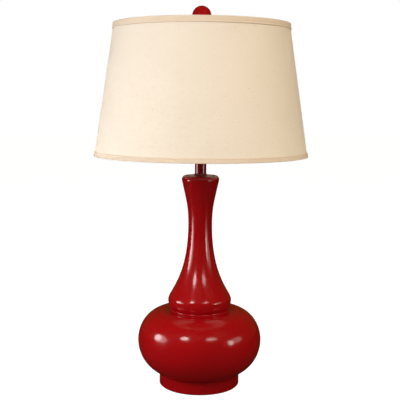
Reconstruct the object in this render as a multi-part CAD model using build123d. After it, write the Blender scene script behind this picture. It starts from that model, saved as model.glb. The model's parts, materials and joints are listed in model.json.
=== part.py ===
from build123d import *
import math
import os

# Double gourd table lamp with a tapered drum shade.
# Millimetres, +Z up.  The origin is on the table, in the middle of the foot.
# The front of the lamp, where the switch knob points, faces -Y.
# Outlines are drawn as (radius, height) and turned about the lamp's axis.

INCH = 25.4

# ---------------------------------------------------------------- driving sizes
# Glazed body: heights and radii of the outside, from the foot up.
FELT_THICK = 1.5
FOOT_R = 82.75
FOOT_EDGE_R = 1.2
BULGE_R = 127.44            # widest ring of the large gourd
BULGE_Z = 94.93
SHOULDER_SEMI = (55.17, 63.06)      # ellipse from the widest ring up to the groove
BELLY_SEMI = (66.09, 70.49)         # ellipse from the widest ring down to the foot
GROOVE_R = 57.4
GROOVE_GLAZE_R = 4.0        # glaze that fills the groove
SMALL_BULGE_R = 65.2
SMALL_BULGE_Z = 179.37
SMALL_BULGE_SEMI_R = 14.06
WAIST_R = 24.48
WAIST_Z = 336.33
LIP_R = 7.9                 # rounding of the flared rim
LIP_CENTRE_R = 30.3
LIP_END_ANGLE = -12.1       # where the rounding runs into the neck
FLARE_HANDLES = (42.8, 37.0)        # neck's curve above the waist: at the rim, at the waist
SKIRT_HANDLES = (111.1, 14.8)       # and below it: at the waist, at the small bulge
BODY_TOP_Z = 436.4
DISH_DEPTH = 2.2            # the top sinks a little towards the neck tube
DISH_FLAT_R = 16.0
WALL = 6.5
TOP_THICK = 7.0
TOP_HOLE_R = 6.5

# Inside of the foot.
FOOT_WALL = 7.0
LEDGE_Z = 24.0
LEDGE_HOLE_R = 60.0
CORD_HOLE_Z = 12.0
CORD_HOLE_R = 6.1
CORD_BORE_R = 3.5

# Threaded pipe that clamps the lamp together (1/8 inch pipe thread).
PIPE_R = 4.9
PIPE_BORE_R = 3.3
PIPE_BOTTOM_Z = 12.0
PIPE_TOP_Z = 505.0
PIPE_PASS_R = 5.2           # hole that lets the pipe through

# Neck tube and the ring that it stands in.
TUBE_R = 11.7
TUBE_WALL = 1.0
TUBE_TOP_Z = 494.0
RING_R = 13.8
RING_HEIGHT = 5.8
RING_FLOOR = 1.2

# Harp: a 9 inch wire loop on a saddle.
HARP_HEIGHT = 9 * INCH
HARP_LEG_X = 28.5
HARP_WIDE_X = 60.0
WIRE_R = 1.9
SADDLE_THICK = 1.6
SADDLE_RISE = 3.0
PRONG_TOP_Z = 509.0
SLEEVE_LENGTH = 17.5
EYE_R = 7.5
FLAT_LENGTH = 19.4          # stretch of wire pressed flat beside the eye
EYE_THICK = 2.6
EYE_HOLE_R = 2.06
PIN_R = 2.0

# Shade: near 14 inches across the top and 17 across the bottom, over the trim.
SHADE_BOTTOM_R = 217.0
SHADE_TOP_R = 177.1
SHADE_BOTTOM_Z = 476.4
SHADE_TOP_Z = 740.4
TRIM_THICK = 1.8
TRIM_FOLD = 1.0
TOP_TRIM_HEIGHT = 12.4
BOTTOM_TRIM_HEIGHT = 9.6
TRIM_INNER_HEIGHT = 8.0
FABRIC_THICK = 0.8
LINER_THICK = 0.8
RING_WIRE_R = 1.9
ARM_WIRE_R = 1.6
ARM_ANGLES = {"rear": 90, "left": 210, "right": 330}
LAYER_GAP = 0.1

# Spider hub, seat and finial.
HUB_R = 12.0
HUB_THICK = 2.1
STUD_R = 3.1                # 1/4-27 thread
STUD_ABOVE_HUB = 9.5
BALL_R = 19.2
BALL_CENTRE_Z = 756.5

# Socket for a medium screw bulb.
SHELL_R = 16.8
SHELL_WALL = 0.8
SHELL_BOTTOM_Z = 513.5
SHELL_TOP_Z = 563.0
KNOB_Z = 527.0
SHAFT_R = 2.2
SCREW_SHELL_R = 13.3        # inside of the screw shell
BULB_CAP_R = 13.0
BULB_TIP_Z = 538.6
GLOBE_R = 30.0
GLOBE_CENTRE_Z = 618.0


# ---------------------------------------------------------------- helpers
def turned(outline):
    """Turn a closed outline of radius and height about the lamp's axis."""
    return revolve(Plane.XZ * make_face(outline), Axis.Z)


def turned_corners(*corners):
    """Turn an outline with straight sides, given by its corners."""
    return turned(Polyline(*corners, close=True))


def tube(r_out, r_in, z_low, z_high):
    return turned_corners((r_in, z_low), (r_out, z_low), (r_out, z_high), (r_in, z_high))


def disc(r, z_low, z_high):
    return Pos(0, 0, (z_low + z_high) / 2) * Cylinder(r, z_high - z_low)


def along_x(x_low, x_high, r, z):
    """Round bar along X, on the lamp's middle plane."""
    return Pos((x_low + x_high) / 2, 0, z) * Rot(0, 90, 0) * Cylinder(r, abs(x_high - x_low))


def along_y(y_low, y_high, r, z):
    """Round bar along Y, on the lamp's middle plane."""
    return Pos(0, (y_low + y_high) / 2, z) * Rot(90, 0, 0) * Cylinder(r, abs(y_high - y_low))


def ellipse_arc(centre, semi, start, end):
    """Arc of an upright ellipse, run from one angle to the other."""
    first, size = min(start, end), abs(end - start)
    return EllipticalCenterArc(centre, *semi, start_angle=first, arc_size=size)


def ellipse_point(centre, semi, angle):
    t = math.radians(angle)
    return (centre[0] + semi[0] * math.cos(t), centre[1] + semi[1] * math.sin(t))


# ---------------------------------------------------------------- glazed body
dish_z = BODY_TOP_Z - DISH_DEPTH


def body_face():
    """Half section of the hollow body: outside, foot, inside, top."""
    lip_centre = (LIP_CENTRE_R, BODY_TOP_Z - LIP_R)
    lip_end = ellipse_point(lip_centre, (LIP_R, LIP_R), LIP_END_ANGLE)
    end_angle = math.radians(LIP_END_ANGLE)
    rim_handle, waist_handle = FLARE_HANDLES
    rim_handle_end = (lip_end[0] + math.sin(end_angle) * rim_handle,
                      lip_end[1] - math.cos(end_angle) * rim_handle)
    skirt_top, skirt_foot = SKIRT_HANDLES

    # Groove: where the small bulge's lower arc meets the large gourd's shoulder.
    shoulder_centre = (BULGE_R - SHOULDER_SEMI[0], BULGE_Z)
    groove_angle = math.degrees(math.acos((GROOVE_R - shoulder_centre[0]) / SHOULDER_SEMI[0]))
    groove = ellipse_point(shoulder_centre, SHOULDER_SEMI, groove_angle)
    small_centre = (SMALL_BULGE_R - SMALL_BULGE_SEMI_R, SMALL_BULGE_Z)
    small_cos = (GROOVE_R - small_centre[0]) / SMALL_BULGE_SEMI_R
    small_semi = (SMALL_BULGE_SEMI_R,
                  (SMALL_BULGE_Z - groove[1]) / math.sqrt(1 - small_cos ** 2))
    small_angle = -math.degrees(math.acos(small_cos))

    belly_centre = (BULGE_R - BELLY_SEMI[0], BULGE_Z)
    foot_angle = -math.degrees(math.acos((FOOT_R - belly_centre[0]) / BELLY_SEMI[0]))
    foot_top = ellipse_point(belly_centre, BELLY_SEMI, foot_angle)
    edge_centre = (FOOT_R - FOOT_EDGE_R, FELT_THICK + FOOT_EDGE_R)

    outside = [
        Line((TOP_HOLE_R, dish_z), (DISH_FLAT_R, dish_z)),
        Bezier((DISH_FLAT_R, dish_z), (DISH_FLAT_R + 6, dish_z),
               (LIP_CENTRE_R - 6, BODY_TOP_Z), (LIP_CENTRE_R, BODY_TOP_Z)),
        CenterArc(lip_centre, LIP_R, LIP_END_ANGLE, 90 - LIP_END_ANGLE),
        Bezier(lip_end, rim_handle_end, (WAIST_R, WAIST_Z + waist_handle), (WAIST_R, WAIST_Z)),
        Bezier((WAIST_R, WAIST_Z), (WAIST_R, WAIST_Z - skirt_top),
               (SMALL_BULGE_R, SMALL_BULGE_Z + skirt_foot), (SMALL_BULGE_R, SMALL_BULGE_Z)),
        ellipse_arc(small_centre, small_semi, 0, small_angle),
        ellipse_arc(shoulder_centre, SHOULDER_SEMI, groove_angle, 0),
        ellipse_arc(belly_centre, BELLY_SEMI, 0, foot_angle),
        Line(foot_top, (FOOT_R, edge_centre[1])),
        CenterArc(edge_centre, FOOT_EDGE_R, -90, 90),
    ]

    # Inside: the same curves, one wall in, and a ledge for the base plate.
    foot_in = FOOT_R - FOOT_WALL
    shoulder_in = (SHOULDER_SEMI[0] - WALL, SHOULDER_SEMI[1] - WALL)
    belly_in = (BELLY_SEMI[0] - WALL, BELLY_SEMI[1] - WALL)
    shoulder_in_angle = 100
    shoulder_in_end = ellipse_point(shoulder_centre, shoulder_in, shoulder_in_angle)
    belly_floor = ellipse_point(belly_centre, belly_in, -90)
    small_in = SMALL_BULGE_R - WALL
    waist_in = WAIST_R - WALL
    ceiling_z = dish_z - TOP_THICK
    ceiling_r = LIP_CENTRE_R - LIP_R
    flare_in = (lip_end[0] - WALL - 2.5, ceiling_z - 8)
    inside = [
        Line((edge_centre[0], FELT_THICK), (foot_in, FELT_THICK)),
        Line((foot_in, FELT_THICK), (foot_in, LEDGE_Z)),
        Line((foot_in, LEDGE_Z), (LEDGE_HOLE_R, LEDGE_Z)),
        Line((LEDGE_HOLE_R, LEDGE_Z), (LEDGE_HOLE_R, belly_floor[1])),
        Line((LEDGE_HOLE_R, belly_floor[1]), belly_floor),
        ellipse_arc(belly_centre, belly_in, -90, 0),
        ellipse_arc(shoulder_centre, shoulder_in, 0, shoulder_in_angle),
        Bezier(shoulder_in_end, (shoulder_in_end[0] - 14, shoulder_in_end[1] - 1.5),
               (small_in, SMALL_BULGE_Z - 14), (small_in, SMALL_BULGE_Z)),
        Bezier((small_in, SMALL_BULGE_Z), (small_in, SMALL_BULGE_Z + 12),
               (waist_in, WAIST_Z - 112), (waist_in, WAIST_Z)),
        Bezier((waist_in, WAIST_Z), (waist_in, WAIST_Z + 38),
               (flare_in[0] - 5, flare_in[1] - 30), flare_in),
        Bezier(flare_in, (flare_in[0] + 0.8, flare_in[1] + 5),
               (ceiling_r + 4, ceiling_z), (ceiling_r, ceiling_z)),
        Line((ceiling_r, ceiling_z), (TOP_HOLE_R, ceiling_z)),
        Line((TOP_HOLE_R, ceiling_z), (TOP_HOLE_R, dish_z)),
    ]
    section = make_face(outside + inside)
    groove_corner = section.vertices().sort_by_distance((groove[0], groove[1], 0))[0]
    return fillet(groove_corner, GROOVE_GLAZE_R)


def gourd_body():
    """One hollow ceramic casting, with a hole for the pipe and one for the cord."""
    casting = revolve(Plane.XZ * body_face(), Axis.Z)
    return casting - along_y(FOOT_R - FOOT_WALL - 4, FOOT_R + 4, CORD_HOLE_R, CORD_HOLE_Z)


# ---------------------------------------------------------------- foot hardware
PLATE_THICK = 1.6
WASHER_THICK = 1.4
NUT_THICK = 4.8
plate_bottom = LEDGE_Z - PLATE_THICK
washer_bottom = plate_bottom - WASHER_THICK


def base_plate():
    """Steel disc with a turned-down edge, pulled up against the foot's ledge."""
    rim_r = FOOT_R - FOOT_WALL - 0.8
    rim_low = LEDGE_Z - 5.0
    return turned_corners(
        (PIPE_PASS_R, plate_bottom), (rim_r - PLATE_THICK, plate_bottom),
        (rim_r - PLATE_THICK, rim_low), (rim_r, rim_low), (rim_r, LEDGE_Z),
        (PIPE_PASS_R, LEDGE_Z))


def lock_washer():
    """Split spring washer: a ring with a slanted cut."""
    ring = tube(9.4, PIPE_PASS_R, washer_bottom, plate_bottom)
    return ring - Pos(7.5, 0, washer_bottom) * Rot(25, 0, 0) * Box(7, 1.0, 8)


def bottom_nut():
    nut = extrude(RegularPolygon(8.0, 6, major_radius=False), NUT_THICK)
    nut = Pos(0, 0, washer_bottom - NUT_THICK) * nut
    return nut - disc(PIPE_R + 0.1, washer_bottom - NUT_THICK - 1, washer_bottom + 1)


def cord_bushing():
    """Snap-in bushing: a flange outside, a barrel through the wall, a lip inside."""
    flange_r, barrel_r = 8.2, CORD_HOLE_R - 0.1
    flange, depth = 1.6, 9.0
    profile = turned_corners(
        (CORD_BORE_R + 1.0, flange), (flange_r - 0.8, flange), (flange_r, flange - 0.8),
        (flange_r, 0), (barrel_r, 0), (barrel_r, -depth),
        (CORD_BORE_R, -depth), (CORD_BORE_R, flange - 1.0))
    return Pos(0, FOOT_R, CORD_HOLE_Z) * Rot(-90, 0, 0) * profile


def center_pipe():
    return tube(PIPE_R, PIPE_BORE_R, PIPE_BOTTOM_Z, PIPE_TOP_Z)


# ---------------------------------------------------------------- neck
def check_ring():
    """Flared ring that covers the body's hole and holds the foot of the tube."""
    top = dish_z + RING_HEIGHT
    lip = TUBE_R + 0.1
    outline = [
        Line((PIPE_PASS_R, dish_z), (RING_R, dish_z)),
        Line((RING_R, dish_z), (RING_R, dish_z + 1.6)),
        Bezier((RING_R, dish_z + 1.6), (RING_R - 0.9, dish_z + 3.0),
               (lip + 1.0, top - 2.0), (lip + 0.7, top)),
        Line((lip + 0.7, top), (lip, top)),
        Line((lip, top), (lip, dish_z + RING_FLOOR)),
        Line((lip, dish_z + RING_FLOOR), (PIPE_PASS_R, dish_z + RING_FLOOR)),
        Line((PIPE_PASS_R, dish_z + RING_FLOOR), (PIPE_PASS_R, dish_z)),
    ]
    return turned(outline)


def neck_tube():
    """Spun tube, closed at the top but for the hole that the pipe passes."""
    foot = dish_z + RING_FLOOR
    inner = TUBE_R - TUBE_WALL
    section = make_face(Polyline(
        (inner, foot), (TUBE_R, foot), (TUBE_R, TUBE_TOP_Z), (PIPE_PASS_R, TUBE_TOP_Z),
        (PIPE_PASS_R, TUBE_TOP_Z - TUBE_WALL), (inner, TUBE_TOP_Z - TUBE_WALL), close=True))
    shoulder = section.vertices().sort_by_distance((TUBE_R, TUBE_TOP_Z, 0))[0]
    return revolve(Plane.XZ * fillet(shoulder, 1.5), Axis.Z)


# ---------------------------------------------------------------- harp
saddle_top = TUBE_TOP_Z + SADDLE_THICK
arm_top = saddle_top + SADDLE_RISE
wire_top_z = TUBE_TOP_Z + HARP_HEIGHT - WIRE_R


def harp_saddle():
    """Stamped strip, joggled up at both arms, with a prong at each end."""
    step_in, step_out, reach = 13.0, 18.0, HARP_LEG_X + 4.0
    low, high = TUBE_TOP_Z, TUBE_TOP_Z + SADDLE_RISE
    right = [(step_in, low), (step_out, high), (reach, high)]
    bottom = [(-x, z) for x, z in reversed(right)] + right
    top = [(x, z + SADDLE_THICK) for x, z in reversed(bottom)]
    strip = extrude(Plane.XZ * make_face(Polyline(*bottom, *top, close=True)), 12, both=True)
    plan = Circle(11.5) + Rectangle(2 * HARP_LEG_X, 8)
    for side in (-1, 1):
        plan += Pos(side * HARP_LEG_X, 0) * Circle(4.0)
    saddle = strip & Pos(0, 0, low - 2) * extrude(plan, 12)
    saddle -= disc(PIPE_PASS_R, low - 1, low + 3)
    for side in (-1, 1):
        prong = disc(WIRE_R, arm_top - 0.5, PRONG_TOP_Z)
        saddle += Pos(side * HARP_LEG_X, 0, 0) * prong
    return saddle


def harp_wire():
    """Wire loop: straight legs, a flare past the bulb, round shoulders, a flat eye."""
    right = [(HARP_LEG_X, PRONG_TOP_Z), (HARP_LEG_X, PRONG_TOP_Z + 40),
             (HARP_WIDE_X, PRONG_TOP_Z + 103), (HARP_WIDE_X, wire_top_z)]
    left = [(-x, z) for x, z in reversed(right)]
    path = Plane.XZ * FilletPolyline(*right, *left, radius=[30, 60, 48, 48, 60, 30])
    wire = sweep(Pos(HARP_LEG_X, 0, PRONG_TOP_Z) * Circle(WIRE_R), path)
    eye_low, eye_high = wire_top_z - EYE_THICK / 2, wire_top_z + EYE_THICK / 2
    for z_low, z_high in ((eye_low - 3, eye_low), (eye_high, eye_high + 3)):
        wire -= Pos(0, 0, (z_low + z_high) / 2) * Box(FLAT_LENGTH, 2 * EYE_R, z_high - z_low)
    wire += disc(EYE_R, eye_low, eye_high)
    return wire - disc(EYE_HOLE_R, eye_low - 1, eye_high + 1)


def harp_sleeve(side):
    """Tapered sleeve that locks a leg of the harp to its prong."""
    bore = WIRE_R + 0.1
    low = arm_top + LAYER_GAP
    high = low + SLEEVE_LENGTH
    sleeve = turned_corners(
        (bore, low), (3.6, low), (3.6, low + 2.2), (3.1, low + 3.2),
        (2.7, high - 0.6), (2.4, high), (bore, high))
    return Pos(side * HARP_LEG_X, 0, 0) * sleeve


# ---------------------------------------------------------------- shade
SHADE_SLOPE = (SHADE_BOTTOM_R - SHADE_TOP_R) / (SHADE_TOP_Z - SHADE_BOTTOM_Z)
seat_bottom = wire_top_z + EYE_THICK / 2 + LAYER_GAP
seat_top = seat_bottom + 2.8
hub_top = seat_top + HUB_THICK
arm_z = seat_top + HUB_THICK / 2
liner_inset = TRIM_THICK + FABRIC_THICK + LINER_THICK
ring_inset = liner_inset + LAYER_GAP + RING_WIRE_R
inner_leg_inset = ring_inset + RING_WIRE_R + LAYER_GAP
top_ring_z = SHADE_TOP_Z - TRIM_FOLD - LAYER_GAP - RING_WIRE_R
bottom_ring_z = SHADE_BOTTOM_Z + TRIM_FOLD + LAYER_GAP + RING_WIRE_R


def shade_r(z, inset=0.0):
    """Radius of the shade's outside at a height, less an inset."""
    return SHADE_TOP_R + (SHADE_TOP_Z - z) * SHADE_SLOPE - inset


def shade_layer(inset, thick):
    """Tapered layer of the shade, between the folds of the two trims."""
    low = SHADE_BOTTOM_Z + TRIM_FOLD + LAYER_GAP
    high = SHADE_TOP_Z - TRIM_FOLD - LAYER_GAP
    return turned_corners(
        (shade_r(low, inset + thick), low), (shade_r(low, inset), low),
        (shade_r(high, inset), high), (shade_r(high, inset + thick), high))


def trim(edge_z, inward, height):
    """Binding folded over a ring: long leg outside, short leg inside.

    edge_z is the shade's edge, and inward is -1 at the top edge or 1 at the bottom.
    """
    outer_end = edge_z + inward * height
    inner_end = edge_z + inward * TRIM_INNER_HEIGHT
    fold = edge_z + inward * TRIM_FOLD
    leg = TRIM_FOLD * 0.8
    corners = [
        (shade_r(edge_z, 1.1), edge_z), (shade_r(edge_z) - 0.2, edge_z + inward * 1.0),
        (shade_r(outer_end), outer_end), (shade_r(outer_end, TRIM_THICK), outer_end),
        (shade_r(fold, TRIM_THICK), fold), (shade_r(fold, inner_leg_inset), fold),
        (shade_r(inner_end, inner_leg_inset), inner_end),
        (shade_r(inner_end, inner_leg_inset + leg), inner_end),
        (shade_r(edge_z, inner_leg_inset + leg) + 0.2, edge_z + inward * 1.0),
        (shade_r(edge_z, inner_leg_inset - 0.3), edge_z)]
    return turned_corners(*corners)


def arm_path():
    """A spider arm's line, out from the hub and up to the top ring."""
    ring_r = shade_r(top_ring_z, ring_inset)
    weld_r = ring_r - RING_WIRE_R + 0.6
    return FilletPolyline((HUB_R - 1.0, arm_z), (weld_r - 13, arm_z), (weld_r, top_ring_z),
                          radius=10)


def spider_arm(angle, radius=ARM_WIRE_R):
    path = Plane.XZ * arm_path()
    start = Plane(path @ 0, z_dir=path % 0)
    return Rot(0, 0, angle) * sweep(start * Circle(radius), path)


def spider_hub():
    hub = tube(HUB_R, STUD_R + 0.2, seat_top, hub_top)
    return chamfer(hub.edges().filter_by(GeomType.CIRCLE).sort_by(SortBy.RADIUS)[-2:], 0.4)


def harp_seat():
    """Swivel seat: rivet head under the harp's eye, pin, disc and threaded stud."""
    eye_low = wire_top_z - EYE_THICK / 2 - LAYER_GAP
    stud_top = hub_top + STUD_ABOVE_HUB
    return turned_corners(
        (0, eye_low - 1.7), (2.6, eye_low - 1.7), (3.6, eye_low - 0.7), (3.6, eye_low),
        (PIN_R, eye_low), (PIN_R, seat_bottom), (8.5, seat_bottom), (9.0, seat_bottom + 0.5),
        (9.0, seat_top), (STUD_R, seat_top), (STUD_R, stud_top - 0.7),
        (STUD_R - 0.7, stud_top), (0, stud_top))


def top_trim():
    """Top binding, notched where the three spider arms pass its inner leg."""
    binding = trim(SHADE_TOP_Z, -1, TOP_TRIM_HEIGHT)
    for angle in ARM_ANGLES.values():
        binding -= spider_arm(angle, ARM_WIRE_R + 0.3)
    return binding


def wire_ring(z):
    return Pos(0, 0, z) * Torus(shade_r(z, ring_inset), RING_WIRE_R)


# ---------------------------------------------------------------- finial
collar_top_z = BALL_CENTRE_Z - 18.0
collar_bottom_z = hub_top + LAYER_GAP
INSERT_R = 5.5
insert_top_z = collar_bottom_z + 13.0


def finial_insert():
    """Threaded bush in the finial, on the seat's stud."""
    return tube(INSERT_R, STUD_R + 0.1, collar_bottom_z + 0.6, insert_top_z)


def finial_collar():
    """Turned collar between the spider hub and the ball."""
    bore = INSERT_R + 0.1
    low, high = collar_bottom_z, collar_top_z
    outline = [
        Line((bore, low), (10.0, low)), Line((10.0, low), (10.0, low + 1.8)),
        Bezier((10.0, low + 1.8), (6.9, low + 3.2), (6.9, high - 3.5), (8.4, high)),
        Line((8.4, high), (bore, high)), Line((bore, high), (bore, low)),
    ]
    return turned(outline)


def finial_ball():
    """Painted ball with a blind hole for the bush."""
    ball = Pos(0, 0, BALL_CENTRE_Z) * Sphere(BALL_R)
    ball -= disc(BALL_R, BALL_CENTRE_Z - BALL_R - 1, collar_top_z)
    return ball - disc(INSERT_R + 0.1, collar_top_z - 1, insert_top_z + 1.0)


# ---------------------------------------------------------------- socket
def socket_cap():
    """Spun cup with a threaded hub, screwed down on the harp saddle."""
    wall = 0.8
    hub_r, cup_r = 8.0, SHELL_R + 1.1
    low, neck_z, cup_z = saddle_top, saddle_top + 7.0, saddle_top + 14.5
    high = cup_z + 9.0
    outline = [
        Line((PIPE_R + 0.1, low), (hub_r, low)),
        Line((hub_r, low), (hub_r, neck_z)),
        Bezier((hub_r, neck_z), (hub_r + 4.5, neck_z + 0.5), (cup_r, cup_z - 4), (cup_r, cup_z)),
        Line((cup_r, cup_z), (cup_r, high)),
        Line((cup_r, high), (cup_r - wall, high)),
        Line((cup_r - wall, high), (cup_r - wall, cup_z)),
        Bezier((cup_r - wall, cup_z), (cup_r - wall, cup_z - 3.4),
               (hub_r + 4.0, neck_z + wall + 0.6), (hub_r - 0.5, neck_z + wall)),
        Line((hub_r - 0.5, neck_z + wall), (PIPE_R + 0.1, neck_z + wall)),
        Line((PIPE_R + 0.1, neck_z + wall), (PIPE_R + 0.1, low)),
    ]
    return turned(outline) - along_x(PIPE_R - 1, hub_r + 2, 1.6, low + 3.4)


def set_screw():
    """Small screw in the cap's hub that bites on the pipe."""
    z = saddle_top + 3.4
    shank = along_x(PIPE_R + 0.05, 8.4, 1.5, z)
    head = along_x(8.4, 10.2, 2.6, z)
    return shank + head - Pos(10.2, 0, z) * Box(1.4, 6, 0.7)


def socket_shell():
    """Outer shell with a bead near its mouth and a hole for the switch."""
    inner = SHELL_R - SHELL_WALL
    bead_z = SHELL_TOP_Z - 7.0
    outline = [
        Line((inner, SHELL_BOTTOM_Z), (SHELL_R, SHELL_BOTTOM_Z)),
        Line((SHELL_R, SHELL_BOTTOM_Z), (SHELL_R, bead_z - 2)),
        Bezier((SHELL_R, bead_z - 2), (SHELL_R + 1.2, bead_z - 1),
               (SHELL_R + 1.2, bead_z + 1), (SHELL_R, bead_z + 2)),
        Line((SHELL_R, bead_z + 2), (SHELL_R, SHELL_TOP_Z)),
        Line((SHELL_R, SHELL_TOP_Z), (inner, SHELL_TOP_Z)),
        Line((inner, SHELL_TOP_Z), (inner, SHELL_BOTTOM_Z)),
    ]
    return turned(outline) - along_y(-SHELL_R - 3, -SHELL_R + 3, SHAFT_R + 0.6, KNOB_Z)


def socket_sleeve():
    """Insulating paper sleeve inside the shell."""
    r_out = SHELL_R - SHELL_WALL - 0.1
    sleeve = tube(r_out, r_out - 0.9, SHELL_BOTTOM_Z + 0.6, SHELL_TOP_Z - 1.0)
    return sleeve - along_y(-SHELL_R - 3, -SHELL_R + 5, SHAFT_R + 0.6, KNOB_Z)


BLOCK_R = 14.7
BLOCK_TOP_Z = 536.6
block_bottom_z = SHELL_BOTTOM_Z + 1.0
SCREW_FLAT_X = 11.6
SCREW_Z = 520.5


def socket_block():
    """Moulded interior that carries the switch, the shell and both terminals."""
    block = disc(BLOCK_R, block_bottom_z, BLOCK_TOP_Z)
    for side in (-1, 1):
        block -= Pos(side * (SCREW_FLAT_X + 5), 0, SCREW_Z - 0.5) * Box(10, 11, 11.5)
        block -= along_x(side * 5, side * 13, 1.6, SCREW_Z)
    return block - along_y(-BLOCK_R - 1, -5.0, SHAFT_R + 0.1, KNOB_Z)


def terminal_screws():
    """Two binding-head screws, one on each side of the block."""
    screws = []
    for side in (-1, 1):
        head = along_x(side * (SCREW_FLAT_X + 0.1), side * (SCREW_FLAT_X + 2.2), 3.2, SCREW_Z)
        shank = along_x(side * 6.0, side * (SCREW_FLAT_X + 0.2), 1.5, SCREW_Z)
        slot = Pos(side * (SCREW_FLAT_X + 2.2), 0, SCREW_Z) * Box(1.4, 7, 0.8)
        screws.append(head + shank - slot)
    return Compound(children=[screw.solid() for screw in screws])


def screw_shell():
    """Threaded brass shell that the bulb's cap goes into, with a turned-in foot."""
    wall, low, high = 0.5, BLOCK_TOP_Z, SHELL_TOP_Z - 2.0
    outer = SCREW_SHELL_R + wall
    return turned_corners(
        (8.0, low), (outer, low), (outer, high), (SCREW_SHELL_R, high),
        (SCREW_SHELL_R, low + wall), (8.0, low + wall))


def center_contact():
    """Brass tongue under the bulb's tip: a foot on the block and a raised end."""
    low, width = BLOCK_TOP_Z, 5.0
    profile = Polyline(
        (-6.5, low), (-1.0, low), (1.5, low + 1.2), (4.5, low + 1.2), (4.5, low + 1.8),
        (1.2, low + 1.8), (-1.3, low + 0.6), (-6.5, low + 0.6), close=True)
    return extrude(Plane.XZ * make_face(profile), width / 2, both=True)


# ---------------------------------------------------------------- switch knob
KNOB_INNER_Y = 26.0
KNOB_LENGTH = 14.0
KNOB_R = 5.4


def switch_shaft():
    return along_y(-6.0, -KNOB_INNER_Y - 6.0, SHAFT_R, KNOB_Z)


def switch_knob():
    """Fluted knob with a rounded nose and a blind bore for the shaft."""
    nose = KNOB_LENGTH - 2.4
    outline = [
        Line((0, 0), (KNOB_R - 0.5, 0)), Line((KNOB_R - 0.5, 0), (KNOB_R, 0.5)),
        Line((KNOB_R, 0.5), (KNOB_R, nose)),
        Bezier((KNOB_R, nose), (KNOB_R, KNOB_LENGTH - 0.6), (3.0, KNOB_LENGTH),
               (0, KNOB_LENGTH)),
        Line((0, KNOB_LENGTH), (0, 0)),
    ]
    knob = turned(outline)
    for place in PolarLocations(KNOB_R + 0.5, 12):
        knob -= place * Pos(0, 0, nose / 2) * Cylinder(1.0, nose - 3.0)
    knob -= disc(SHAFT_R + 0.01, -1, 6.2)
    return Pos(0, -KNOB_INNER_Y, KNOB_Z) * Rot(90, 0, 0) * knob


# ---------------------------------------------------------------- bulb
CAP_BOTTOM_Z = BULB_TIP_Z + 3.2
CAP_TOP_Z = BULB_TIP_Z + 26.0


def bulb_contact():
    """Solder button at the bulb's tip."""
    outline = [
        Line((0, BULB_TIP_Z), (2.2, BULB_TIP_Z)),
        Bezier((2.2, BULB_TIP_Z), (3.8, BULB_TIP_Z + 0.1), (4.4, BULB_TIP_Z + 0.8),
               (4.4, BULB_TIP_Z + 1.4)),
        Line((4.4, BULB_TIP_Z + 1.4), (0, BULB_TIP_Z + 1.4)),
        Line((0, BULB_TIP_Z + 1.4), (0, BULB_TIP_Z)),
    ]
    return turned(outline)


def bulb_insulator():
    """Dark glass cone between the tip and the screw cap."""
    low = BULB_TIP_Z + 1.5
    return turned_corners((0, low), (4.6, low), (9.6, CAP_BOTTOM_Z), (0, CAP_BOTTOM_Z))


def bulb_cap():
    """Thin metal screw cap, turned in at its foot and flared at its mouth."""
    wall = 0.5
    low, high = CAP_BOTTOM_Z, CAP_TOP_Z
    return turned_corners(
        (0, low), (9.8, low), (BULB_CAP_R, low + 2.6), (BULB_CAP_R, high),
        (BULB_CAP_R - wall, high), (BULB_CAP_R - wall, low + 2.9), (9.4, low + wall),
        (0, low + wall))


def globe_outline(r, neck_r, foot_z):
    """Pear-shaped outline of the bulb's glass, from its neck to its crown."""
    centre = (0, GLOBE_CENTRE_Z)
    join = -32
    edge = ellipse_point(centre, (r, r), join)
    run = 14.0
    tangent = (math.sin(math.radians(join)), -math.cos(math.radians(join)))
    return [
        Line((neck_r, foot_z), (neck_r, CAP_TOP_Z + 1)),
        Bezier((neck_r, CAP_TOP_Z + 1), (neck_r, CAP_TOP_Z + 13),
               (edge[0] + tangent[0] * run, edge[1] + tangent[1] * run), edge),
        CenterArc(centre, r, join, 90 - join),
    ]


def bulb_globe():
    """Frosted glass envelope, open at its neck inside the cap."""
    wall, foot_z = 1.0, CAP_BOTTOM_Z + 6.0
    neck_r = BULB_CAP_R - 0.6
    outer = globe_outline(GLOBE_R, neck_r, foot_z)
    inner = globe_outline(GLOBE_R - wall, neck_r - wall, foot_z)
    ends = [Line((neck_r - wall, foot_z), (neck_r, foot_z)),
            Line((0, GLOBE_CENTRE_Z + GLOBE_R - wall), (0, GLOBE_CENTRE_Z + GLOBE_R))]
    return turned(outer + inner + ends)


def filament_stem():
    """Glass mount with two support wires and the filament across them."""
    foot_z, press_z, coil_z = CAP_BOTTOM_Z + 6.0, 585.0, 616.0
    stem = turned_corners((0, foot_z), (11.2, foot_z), (11.2, foot_z + 1.2),
                          (4.5, foot_z + 10), (2.6, press_z), (0, press_z))
    wire_foot, spread = 1.4, 10.0
    rise = coil_z - press_z + 2
    lean = math.degrees(math.atan2(spread, rise))
    length = math.hypot(spread, rise)
    for side in (-1, 1):
        wire = Pos(0, 0, length / 2) * Cylinder(0.6, length)
        stem += Pos(side * wire_foot, 0, press_z - 2) * Rot(0, side * lean, 0) * wire
    return stem + along_x(-wire_foot - spread - 0.5, wire_foot + spread + 0.5, 0.9, coil_z)


# ---------------------------------------------------------------- felt
def felt_pad():
    return disc(FOOT_R - FOOT_EDGE_R - 0.6, 0, FELT_THICK)


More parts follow.
